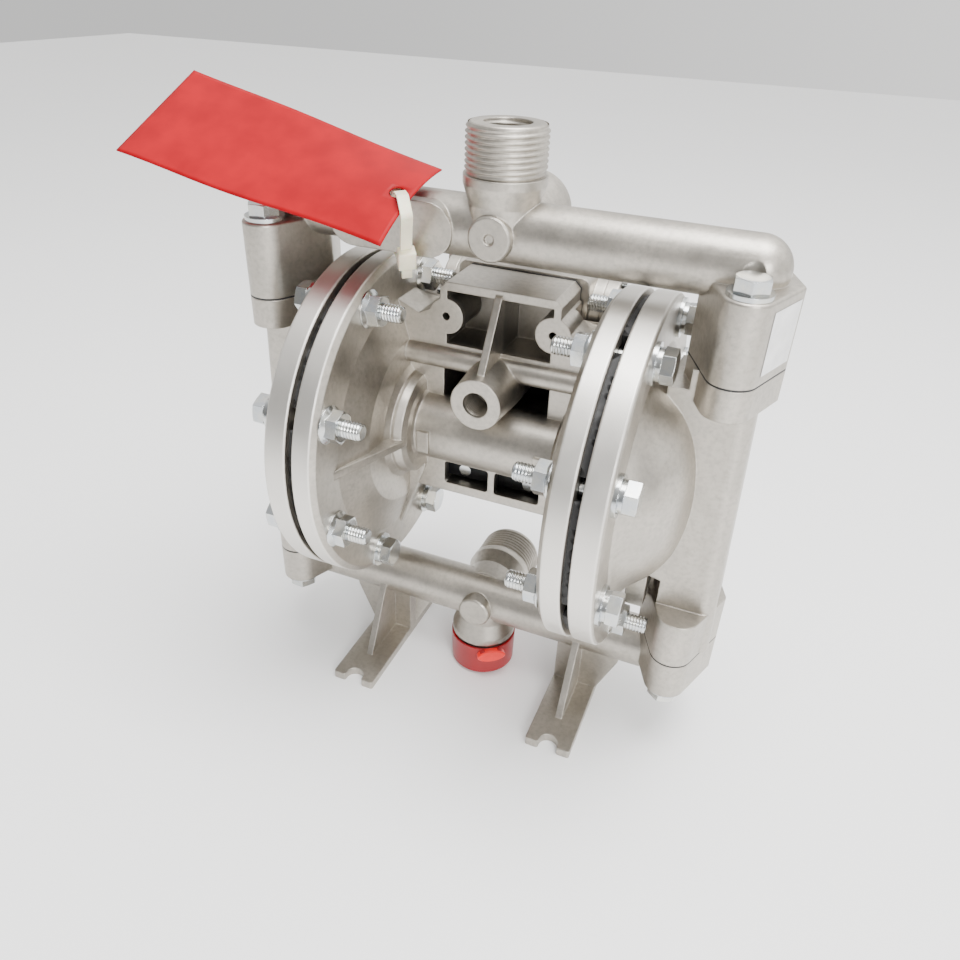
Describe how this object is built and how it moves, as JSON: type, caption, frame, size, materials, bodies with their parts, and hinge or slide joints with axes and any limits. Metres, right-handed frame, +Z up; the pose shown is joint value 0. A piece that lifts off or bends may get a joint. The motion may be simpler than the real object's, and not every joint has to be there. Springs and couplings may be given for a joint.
{
  "type": "air operated diaphragm pump",
  "caption": "Cast metal double diaphragm pump driven by compressed air, with bolted chambers, ball valves, top and bottom manifolds, slotted feet and an air valve at the back.",
  "frame": {"origin": "on the floor under the middle of the pump, centred between the four foot slots", "axes": "+X along the diaphragm shaft, +Y towards the air valve at the back, +Z up"},
  "size_m": [0.2875, 0.1623, 0.2866],
  "materials": {
    "nylon": "natural nylon",
    "cast_metal": "bead-blasted cast stainless steel",
    "zinc_steel": "bright zinc plate",
    "rubber": "black elastomer",
    "ground_steel": "ground bar",
    "ball_rubber": "moulded ball",
    "seat_metal": "turned seat ring",
    "black_plastic": "black moulded plastic",
    "plate_metal": "turned plate",
    "red_plastic": "soft red plug cap",
    "tag_card": "red plastic card",
    "bronze": "turned bearing bronze"
  },
  "bodies": {
    "base": {"cable_tie": "nylon", "center_body": "cast_metal", "chamber_bolts_left": "zinc_steel", "chamber_bolts_right": "zinc_steel", "chamber_flat_washers": "zinc_steel", "chamber_lock_washers": "zinc_steel", "chamber_nuts_left": "zinc_steel", "chamber_nuts_right": "zinc_steel", "diaphragm_left": "rubber", "diaphragm_right": "rubber", "discharge_bolts": "zinc_steel", "discharge_manifold": "cast_metal", "discharge_seats": "seat_metal", "discharge_washers": "zinc_steel", "exhaust_housing": "black_plastic", "exhaust_screws": "zinc_steel", "manifold_gaskets": "rubber", "muffler": "black_plastic", "outer_chamber_left": "cast_metal", "outer_chamber_right": "cast_metal", "protective_cap": "red_plastic", "safety_tag": "tag_card", "seat_o_rings": "rubber", "shaft_bushings": "bronze", "shaft_seals": "rubber", "suction_bolts": "zinc_steel", "suction_manifold": "cast_metal", "suction_seats": "seat_metal", "suction_washers": "zinc_steel", "valve_body": "cast_metal", "valve_cap_left": "cast_metal", "valve_cap_right": "cast_metal", "valve_cap_screws": "zinc_steel", "valve_gasket": "rubber", "valve_screws": "zinc_steel", "valve_sleeve": "bronze"},
    "shaft": {"diaphragm_shaft": "ground_steel", "inner_plate_left": "plate_metal", "inner_plate_right": "plate_metal", "outer_plate_left": "plate_metal", "outer_plate_right": "plate_metal"},
    "pilot": {"pilot_rod": "ground_steel"},
    "spool": {"valve_spool": "ground_steel"},
    "suction_ball_l": {"suction_ball_left": "ball_rubber"},
    "suction_ball_r": {"suction_ball_right": "ball_rubber"},
    "discharge_ball_l": {"discharge_ball_left": "ball_rubber"},
    "discharge_ball_r": {"discharge_ball_right": "ball_rubber"}
  },
  "joints": [
    {"name": "shaft_stroke", "type": "slide", "parent": "base", "child": "shaft", "axis": [1, 0, 0], "range_m": [-0.0075, 0.0075], "deforming": ["diaphragm_left", "diaphragm_right"]},
    {"name": "pilot_shift", "type": "slide", "parent": "base", "child": "pilot", "axis": [1, 0, 0], "range_m": [-0.0025, 0.0025]},
    {"name": "spool_shift", "type": "slide", "parent": "base", "child": "spool", "axis": [1, 0, 0], "range_m": [-0.004, 0.004]},
    {"name": "suction_lift_l", "type": "slide", "parent": "base", "child": "suction_ball_l", "axis": [0, 0, 1], "range_m": [0, 0.005]},
    {"name": "suction_lift_r", "type": "slide", "parent": "base", "child": "suction_ball_r", "axis": [0, 0, 1], "range_m": [0, 0.005]},
    {"name": "discharge_lift_l", "type": "slide", "parent": "base", "child": "discharge_ball_l", "axis": [0, 0, 1], "range_m": [0, 0.005]},
    {"name": "discharge_lift_r", "type": "slide", "parent": "base", "child": "discharge_ball_r", "axis": [0, 0, 1], "range_m": [0, 0.005]}
  ],
  "couplings": [
    {"joint": "pilot_shift", "follows": "shaft_stroke", "ratio": 0.3333}
  ]
}
